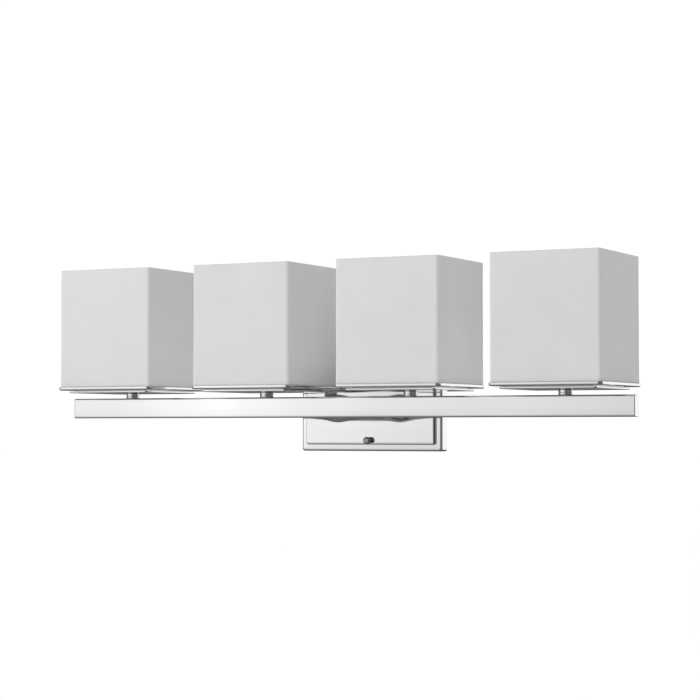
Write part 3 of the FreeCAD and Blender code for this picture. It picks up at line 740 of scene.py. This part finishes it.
def bar_tube():
    """The rectangular tube, polished until its faces are faintly crowned and uneven."""
    low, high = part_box("bar_tube")
    centre = (low + high) / 2
    half_y = (high.y - low.y) / 2
    half_z = (high.z - low.z) / 2
    outside = crowned_rectangle(half_y, half_z, BAR_EDGE, BAR_CROWN)
    inside = crowned_rectangle(half_y - BAR_WALL, half_z - BAR_WALL, BAR_INNER_EDGE,
                               BAR_CROWN)
    steps = round((high.x - low.x) / BAR_RING_SPACING)
    stations = [low.x + (high.x - low.x) * step / steps for step in range(steps + 1)]

    def ring(points, x, is_outside):
        loop = []
        for point in points:
            place = Vector((x, centre.y + point.x, centre.z + point.y))
            if is_outside and abs(point.x) > half_y - BAR_EDGE:
                seed = Vector((place.x / BAR_WAVE_LENGTH, place.z / (0.5 * BAR_WAVE_LENGTH),
                               3.0 if point.x > 0 else 7.0))
                flat = max(0.0, 1.0 - (point.y / (half_z - BAR_EDGE)) ** 4)
                inward = BAR_WAVE * (0.5 + 0.5 * noise.noise(seed)) * flat
                place.y -= math.copysign(inward, point.x)
            loop.append(place)
        return loop

    loops = [ring(outside, x, True) for x in stations]
    loops += [ring(inside, x, False) for x in (high.x, low.x)]
    bm = bmesh.new()
    rows = [[bm.verts.new(point) for point in loop] for loop in loops]
    outer_rows, inner_rows = rows[:-2], rows[-2:]
    for first, second in list(zip(outer_rows, outer_rows[1:])) + [tuple(inner_rows)]:
        count = len(first)
        for index in range(count):
            after = (index + 1) % count
            bm.faces.new((first[index], first[after], second[after], second[index]))
    for outer, inner in ((outer_rows[0], inner_rows[1]), (outer_rows[-1], inner_rows[0])):
        edges = [bm.edges.get((ring_row[index], ring_row[(index + 1) % len(ring_row)]))
                 for ring_row in (outer, inner) for index in range(len(ring_row))]
        bmesh.ops.bridge_loops(bm, edges=edges)
    piece = finish_mesh("bar_tube_polished", bm, MATERIALS["polished_chrome"])
    holes = [(Vector((middle(f"post_{number}").x, centre.y, high.z)), PIPE_HOLE, (0, 0, 1))
             for number in LIGHTS]
    holes += [(Vector((middle(f"arm_{side}").x, high.y, centre.z)), PIPE_HOLE, (0, 1, 0))
              for side in SIDES]
    cut_holes(piece, holes)
    stand_for(piece, BODY, "polished_chrome", "bar_tube")


# Canopy, arms and nuts -------------------------------------------------------------------

CANOPY_SHEET = 0.9 * MM
CANOPY_PAN_DEPTH = 16.5 * MM
CANOPY_BLOCK_INSET = 8.6 * MM
CANOPY_BLOCK_EDGE = 1.6 * MM
CANOPY_PAN_EDGE = 3.0 * MM
CANOPY_STEP_FILLET = 0.7 * MM
CANOPY_WALL_EDGE = 0.2 * MM
STUD_HOLE = 2.35 * MM
DIMPLE_DEPTH = 0.55 * MM             # where the arms' nuts pull the sheet in
DIMPLE_RADIUS = 23.0 * MM
HOLLOW_DEPTH = 0.35 * MM             # a long shallow hollow between the arms
HOLLOW_HALF_HEIGHT = 27.0 * MM
SHEET_WAVE = 0.12 * MM
SHEET_WAVE_LENGTH = 0.06
SHEET_GRID = 3.5 * MM
SHEET_SMALLEST_FACE = 2e-6           # square metres; smaller faces belong to the edges
ARM_OFFSET = 44.45 * MM


def sheet_sag(x, z, half_x, half_z):
    """How far the canopy's front sheet stands back from flat."""
    edge = max(0.0, (1 - (x / half_x) ** 4) * (1 - (z / half_z) ** 4))
    sag = SHEET_WAVE * (0.5 + 0.5 * noise.noise(Vector((x, 0.0, z)) / SHEET_WAVE_LENGTH))
    if abs(z) < HOLLOW_HALF_HEIGHT:
        along = max(0.0, 1 - (x / half_x) ** 4)
        sag += HOLLOW_DEPTH * along * (0.5 + 0.5 * math.cos(math.pi * z / HOLLOW_HALF_HEIGHT))
    for side in (-1, 1):
        reach = math.hypot(x - side * ARM_OFFSET, z) / DIMPLE_RADIUS
        if reach < 1.0:
            sag += DIMPLE_DEPTH * (0.5 + 0.5 * math.cos(math.pi * reach)) ** 1.2
    return sag * edge


def dress_front(piece, front, sheet, half_x, half_z):
    """Divides the flat front into a grid and gives it the sheet's dimples and waves."""
    mesh = piece.data
    bm = bmesh.new()
    bm.from_mesh(mesh)

    def flat_faces():
        return [face for face in bm.faces if abs(face.normal.y) > 0.999
                and face.calc_area() > SHEET_SMALLEST_FACE
                and all(vert.co.y < front + sheet + 0.01 * MM for vert in face.verts)]

    for axis, half in ((0, half_x), (2, half_z)):
        count = int(half / SHEET_GRID)
        for step in range(-count, count + 1):
            faces = flat_faces()
            edges = list({edge for face in faces for edge in face.edges})
            verts = list({vert for face in faces for vert in face.verts})
            place = Vector((0, 0, 0))
            place[axis] = step * SHEET_GRID
            normal = Vector((0, 0, 0))
            normal[axis] = 1
            bmesh.ops.bisect_plane(bm, geom=faces + edges + verts, plane_co=place,
                                   plane_no=normal, dist=1e-7)
    for vert in bm.verts:
        if vert.co.y < front + sheet + 0.01 * MM and (
                abs(vert.co.x) < half_x and abs(vert.co.z) < half_z):
            vert.co.y += sheet_sag(vert.co.x, vert.co.z, half_x, half_z)
    bm.to_mesh(mesh)
    bm.free()
    shade_smooth(mesh)


def canopy():
    """One stamped sheet: a shallow pan with a raised block, open to the wall."""
    low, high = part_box("canopy")
    centre = (low + high) / 2
    half_x = (high.x - low.x) / 2
    half_z = (high.z - low.z) / 2
    front = low.y
    margin = -CANOPY_PAN_DEPTH
    block = CANOPY_BLOCK_INSET
    sheet = CANOPY_SHEET
    flat = block + 3 * MM
    outside = [(flat, front, 0.0), (block, front, CANOPY_BLOCK_EDGE),
               (block, margin, CANOPY_STEP_FILLET), (0.0, margin, CANOPY_PAN_EDGE),
               (0.0, 0.0, CANOPY_WALL_EDGE), (sheet, 0.0, CANOPY_WALL_EDGE),
               (sheet, margin + sheet, CANOPY_PAN_EDGE - sheet),
               (block + sheet, margin + sheet, CANOPY_STEP_FILLET + sheet),
               (block + sheet, front + sheet, CANOPY_BLOCK_EDGE - sheet),
               (flat, front + sheet, 0.0)]
    loops = []
    for inset, y in round_outline(outside, closed=False):
        share = min(1.0, inset / block)
        radius = CANOPY_PAN_EDGE + (CANOPY_BLOCK_EDGE - CANOPY_PAN_EDGE) * share
        if inset > block:
            radius = max(0.05 * MM, radius - (inset - block))
        ring = rounded_rectangle(half_x - inset, half_z - inset, radius)
        loops.append([Vector((centre.x + p.x, y, centre.z + p.y)) for p in ring])
    piece = loft("canopy_stamped", loops, MATERIALS["polished_chrome"], close_profile=False,
                 cap_ends=True)
    dress_front(piece, front, sheet, half_x - block - CANOPY_BLOCK_EDGE,
                half_z - block - CANOPY_BLOCK_EDGE)
    holes = [(Vector((side * ARM_OFFSET, front, 0)), PIPE_HOLE, (0, 1, 0)) for side in (-1, 1)]
    holes += [(Vector((0, front, middle(nut).z)), STUD_HOLE, (0, 1, 0)) for nut in THUMB_NUTS]
    cut_holes(piece, holes)
    stand_for(piece, BODY, "polished_chrome", "canopy")


FLANGE_BORE = 6.35 * MM
FLANGE_RIM = 1.2 * MM
FLANGE_TIP = 1.2 * MM
FLANGE_SHOULDER = 0.9 * MM           # the bell's foot stands this far inside the rim
FLANGE_STEPS = 14
FLANGE_SEAT = 0.9 * MM               # its rim reaches into the dimpled sheet behind it


def arm_flange(side):
    """The bell-shaped escutcheon at an arm's root."""
    low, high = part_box(f"arm_flange_{side}")
    centre = level_axis(low, high)
    radius = (high.x - low.x) / 2
    rim_y = high.y - FLANGE_RIM
    tip_radius = FLANGE_BORE + FLANGE_TIP
    bell = []
    for step in range(FLANGE_STEPS + 1):
        share = step / FLANGE_STEPS
        ease = 1 - math.sqrt(1 - (1 - share) ** 2)
        bell.append((tip_radius + (radius - FLANGE_SHOULDER - tip_radius) * ease,
                     rim_y + (low.y - rim_y) * share, 0.0))
    seat = high.y + FLANGE_SEAT
    corners = [(FLANGE_BORE, seat, 0.0), (radius, seat, 0.3 * MM),
               (radius, rim_y, 0.5 * MM)] + bell
    corners += [(FLANGE_BORE, low.y, 0.2 * MM)]
    loops = turned_rings(round_outline(corners), centre, "Y", 128)
    piece = loft(f"arm_flange_{side}_spun", loops, MATERIALS["polished_chrome"],
                 sharp_degrees=40)
    stand_for(piece, BODY, "polished_chrome", f"arm_flange_{side}")


KNURLS = 22
KNURL_DEPTH = 0.38 * MM
KNURL_PITCH = 1.9 * MM
THUMB_COLLAR_LENGTH = 2.8 * MM
THUMB_COLLAR_RADIUS = 3.2 * MM
STUD_BORE = 2.1 * MM
THUMB_DOME_HEIGHT = 1.5 * MM
THUMB_TIP_RADIUS = 0.02 * MM         # the dome's flat tip, too small to see
THUMB_DOME_STEPS = 8
THUMB_GRIP_STEPS = 40
THUMB_BORE_END = 2.0 * MM            # the bore stops this far behind the dome's tip
KNURL_RUN_IN = 0.5 * MM


def thumb_nut(name):
    """A domed thumb nut whose grip has a diamond knurl cut into the mesh."""
    low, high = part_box(name)
    centre = level_axis(low, high)
    radius = (high.x - low.x) / 2
    collar = high.y - THUMB_COLLAR_LENGTH
    grip_front = low.y + THUMB_DOME_HEIGHT
    grip_back = collar - 0.8 * MM
    dome = [(THUMB_TIP_RADIUS, low.y, 0.0)]
    for step in range(1, THUMB_DOME_STEPS + 1):
        share = step / THUMB_DOME_STEPS
        dome.append((radius * math.sin(share * math.pi / 2),
                     low.y + (grip_front - low.y) * (1 - math.cos(share * math.pi / 2)), 0.0))
    barrel = [(radius, grip_front + (grip_back - grip_front) * step / THUMB_GRIP_STEPS, 0.0)
              for step in range(1, THUMB_GRIP_STEPS + 1)]
    tail = [(radius, collar, 0.6 * MM), (THUMB_COLLAR_RADIUS, collar, 0.3 * MM),
            (THUMB_COLLAR_RADIUS, high.y, 0.25 * MM), (STUD_BORE, high.y, 0.15 * MM),
            (STUD_BORE, low.y + THUMB_BORE_END, 0.0),
            (THUMB_TIP_RADIUS, low.y + THUMB_BORE_END, 0.0)]
    profile = round_outline(dome + barrel + tail, closed=False)

    def knurled(reach, height, turn):
        if reach < radius - 0.01 * MM or not grip_front < height < grip_back:
            return reach
        run_in = min(1.0, (height - grip_front) / KNURL_RUN_IN,
                     (grip_back - height) / KNURL_RUN_IN)
        along = 2 * math.pi * height / KNURL_PITCH
        first = abs(math.sin((KNURLS * turn + along) / 2))
        second = abs(math.sin((KNURLS * turn - along) / 2))
        return reach - KNURL_DEPTH * run_in * (1 - min(first, second) ** 0.7)

    loops = turned_rings(profile, centre, "Y", KNURLS * 12, knurled)
    piece = loft(f"{name}_knurled", loops, MATERIALS["satin_nickel"], close_profile=False,
                 cap_ends=True, sharp_degrees=60)
    stand_for(piece, name, "satin_nickel", name)


# Stage, light and camera -------------------------------------------------------------------

def plain_material(name, colour, roughness, glow):
    """An even, slightly glowing material for the floor."""
    made = Material(name, Roughness=roughness)
    made.shader.inputs["Base Color"].default_value = (*colour, 1)
    made.shader.inputs["Emission Color"].default_value = (*colour, 1)
    made.shader.inputs["Emission Strength"].default_value = glow
    return made.material


def stage_object(name, bm, material):
    """Adds something that isn't part of the object."""
    made = new_object(name, bm)
    made.data.materials.append(material)
    return made


def stage_plane(name, half, material):
    """A square plane of the given half-width, facing +Z."""
    bm = bmesh.new()
    bmesh.ops.create_grid(bm, x_segments=1, y_segments=1, size=half)
    return stage_object(name, bm, material)


def only_in_reflections(made):
    """Hides an object from everything but glossy rays."""
    made.visible_camera = False
    made.visible_diffuse = False
    made.visible_transmission = False
    made.visible_volume_scatter = False
    made.visible_shadow = False


def set_stops(ramp, stops):
    """Sets a colour ramp's grey levels from (place 0..1, level) pairs."""
    elements = ramp.color_ramp.elements
    for index, (position, level) in ((0, stops[0]), (1, stops[-1])):
        elements[index].position = position
        elements[index].color = (level, level, level, 1)
    for position, level in stops[1:-1]:
        elements.new(position).color = (level, level, level, 1)


def glowing(name, levels, axis="X", across=None):
    """A light-emitting material graded by stops along one axis of its object.

    The stops in across, if given, grade it along the other axis too.
    """
    material = bpy.data.materials.new(name)
    material.use_nodes = True
    tree = material.node_tree
    tree.nodes.clear()
    output = tree.nodes.new("ShaderNodeOutputMaterial")
    emission = tree.nodes.new("ShaderNodeEmission")
    tree.links.new(emission.outputs["Emission"], output.inputs["Surface"])
    place = tree.nodes.new("ShaderNodeTexCoord")
    split = tree.nodes.new("ShaderNodeSeparateXYZ")
    tree.links.new(place.outputs["Generated"], split.inputs["Vector"])

    def graded(stops, direction):
        ramp = tree.nodes.new("ShaderNodeValToRGB")
        ramp.color_ramp.interpolation = "EASE"
        set_stops(ramp, stops)
        tree.links.new(split.outputs[direction], ramp.inputs["Fac"])
        return ramp.outputs["Color"]

    colour = graded(levels, axis)
    if across:
        product = tree.nodes.new("ShaderNodeVectorMath")
        product.operation = "MULTIPLY"
        tree.links.new(colour, product.inputs[0])
        tree.links.new(graded(across, "Y" if axis == "X" else "X"), product.inputs[1])
        colour = product.outputs["Vector"]
    tree.links.new(colour, emission.inputs["Color"])
    return material


def card(name, azimuth, low, high, width, material, distance=6.0):
    """An upright card seen only in reflections.

    Azimuth is in degrees from -Y towards +X; low and high are elevations in degrees, and
    width is the angle that the card spans.
    """
    turn = math.radians(azimuth)
    away = Vector((math.sin(turn), -math.cos(turn), 0))
    side = Vector((math.cos(turn), math.sin(turn), 0))
    half = distance * math.tan(math.radians(width / 2))
    bottom = distance * math.tan(math.radians(low))
    top = distance * math.tan(math.radians(high))
    made = stage_plane(name, 1.0, material)
    made.matrix_world = Matrix.Translation(away * distance
                                           + Vector((0, 0, (bottom + top) / 2))) @ Matrix((
        (side.x * half, 0, -away.x, 0),
        (side.y * half, 0, -away.y, 0),
        (0, (top - bottom) / 2, 0, 0),
        (0, 0, 0, 1)))
    only_in_reflections(made)


def even(level):
    """Stops of one level from end to end."""
    return ((0.0, level), (1.0, level))


def shade_from(name, place, facing, size, level):
    """A grey card that only diffuse light meets: it takes light away from one side."""
    made = stage_plane(name, 0.5, glowing(name, even(level)))
    made.location = place
    made.rotation_mode = "QUATERNION"
    made.rotation_quaternion = (Vector(facing) - Vector(place)).to_track_quat("Z", "Y")
    made.scale = (size[0], size[1], 1)
    made.visible_camera = False
    made.visible_glossy = False
    made.visible_transmission = False


def area_light(name, place, target, size, power):
    """A rectangular white light that the chrome doesn't show."""
    light = bpy.data.lights.new(name, "AREA")
    light.shape = "RECTANGLE"
    light.size, light.size_y = size
    light.energy = power
    made = bpy.data.objects.new(name, light)
    made.location = place
    made.rotation_mode = "QUATERNION"
    made.rotation_quaternion = (Vector(target) - Vector(place)).to_track_quat("-Z", "Y")
    made.visible_camera = False
    made.visible_glossy = False
    bpy.context.scene.collection.objects.link(made)


WORLD_STOPS = ((0.0, 1.0), (0.2, 1.0), (0.42, 0.24), (1.0, 0.16))
WORLD_STRENGTH = 1.05
ROOM_STOPS = ((0.0, 0.16), (0.40, 0.10), (0.50, 0.16), (0.56, 0.22), (0.72, 0.18), (1.0, 0.06))
ROOM_RADIUS = 15.0
FLOOR_HALF_WIDTH = 60.0
# The key softbox's brightness from left to right, as one facing the light bar would see the
# softbox's back, and from its foot to its top.
KEY_ACROSS = ((0.0, 0.5), (0.25, 0.9), (0.46, 1.03), (0.488, 1.17), (0.505, 1.22), (0.52, 1.12),
              (0.545, 1.03), (0.57, 0.95), (0.627, 0.90), (0.70, 0.80), (1.0, 0.55))
KEY_UPWARDS = ((0.0, 0.35), (0.26, 0.45), (0.484, 0.60), (0.579, 0.80), (0.624, 1.0), (0.9, 1.0),
               (1.0, 0.8))


def studio():
    """White surroundings and floor; softboxes and dark flags show only in the chrome."""
    world = bpy.data.worlds.new("studio")
    bpy.context.scene.world = world
    world.use_nodes = True
    tree = world.node_tree
    background = tree.nodes["Background"]
    place = tree.nodes.new("ShaderNodeTexCoord")
    split = tree.nodes.new("ShaderNodeSeparateXYZ")
    ramp = tree.nodes.new("ShaderNodeValToRGB")
    tree.links.new(place.outputs["Generated"], split.inputs["Vector"])
    tree.links.new(split.outputs["Z"], ramp.inputs["Fac"])
    tree.links.new(ramp.outputs["Color"], background.inputs["Color"])
    set_stops(ramp, WORLD_STOPS)
    background.inputs["Strength"].default_value = WORLD_STRENGTH

    pale = plain_material("pale_floor", (0.93, 0.93, 0.93), roughness=0.9, glow=0.78)
    floor = stage_plane("floor", FLOOR_HALF_WIDTH, pale)
    floor.location = (0, 0, FLOOR_LEVEL)
    floor.visible_glossy = False

    bm = bmesh.new()
    bmesh.ops.create_uvsphere(bm, u_segments=48, v_segments=24, radius=ROOM_RADIUS)
    only_in_reflections(stage_object("room", bm, glowing("room", ROOM_STOPS, "Z")))

    card("key_softbox", azimuth=-32.0, low=-45.0, high=32.0, width=80.0,
         material=glowing("key_softbox", KEY_ACROSS, "X", KEY_UPWARDS))
    card("fill_softbox", azimuth=14.5, low=-45.0, high=32.0, width=13.0,
         material=glowing("fill_softbox", ((0.0, 0.55), (1.0, 0.5)), "X", KEY_UPWARDS))
    card("side_softbox", azimuth=152.0, low=-14.0, high=25.0, width=44.0,
         material=glowing("side_softbox", ((0.0, 0.9), (0.5, 1.12), (1.0, 1.0))))
    card("dark_flag", azimuth=28.5, low=-25.0, high=30.0, width=15.0, distance=5.0,
         material=glowing("dark_flag", even(0.03)))
    card("front_floor", azimuth=-20.0, low=-80.0, high=-45.0, width=130.0, distance=6.5,
         material=glowing("front_floor", ((0.0, 0.10), (1.0, 0.14)), "Y"))
    shade_from("right", place=(1.35, 0.15, 0.1), facing=(0, 0.15, 0.1), size=(2.4, 2.4),
               level=0.42)
    shade_from("below", place=(0.0, -0.6, -0.55), facing=(0, -0.6, 0), size=(3.0, 2.4),
               level=0.75)
    area_light("key", place=(-1.5, -2.2, 1.1), target=(0, -0.1, 0.1), size=(1.6, 1.6),
               power=15.0)

    scene = bpy.context.scene
    scene.view_settings.view_transform = "Standard"
    scene.view_settings.look = "None"


def camera():
    """The camera, with no shift and no depth of field."""
    data = bpy.data.cameras.new("camera")
    data.sensor_width = SENSOR
    data.lens = CAMERA_LENS
    made = bpy.data.objects.new("camera", data)
    made.location = CAMERA_PLACE
    made.rotation_euler = (math.pi / 2 + CAMERA_PITCH, 0, CAMERA_YAW)
    bpy.context.scene.collection.objects.link(made)
    bpy.context.scene.camera = made


# Build ----------------------------------------------------------------------------------------

finish_cad_nodes()
for light in LIGHTS:
    glass_shade(light)
    shade_tray(light)
    tray_plate(light)
    post(light)
    socket_body(light)
    screw_shell(light)
    shade_ring(light)
bar_tube()
canopy()
for arm_side in SIDES:
    arm_flange(arm_side)
for nut_name in THUMB_NUTS:
    thumb_nut(nut_name)
studio()
camera()
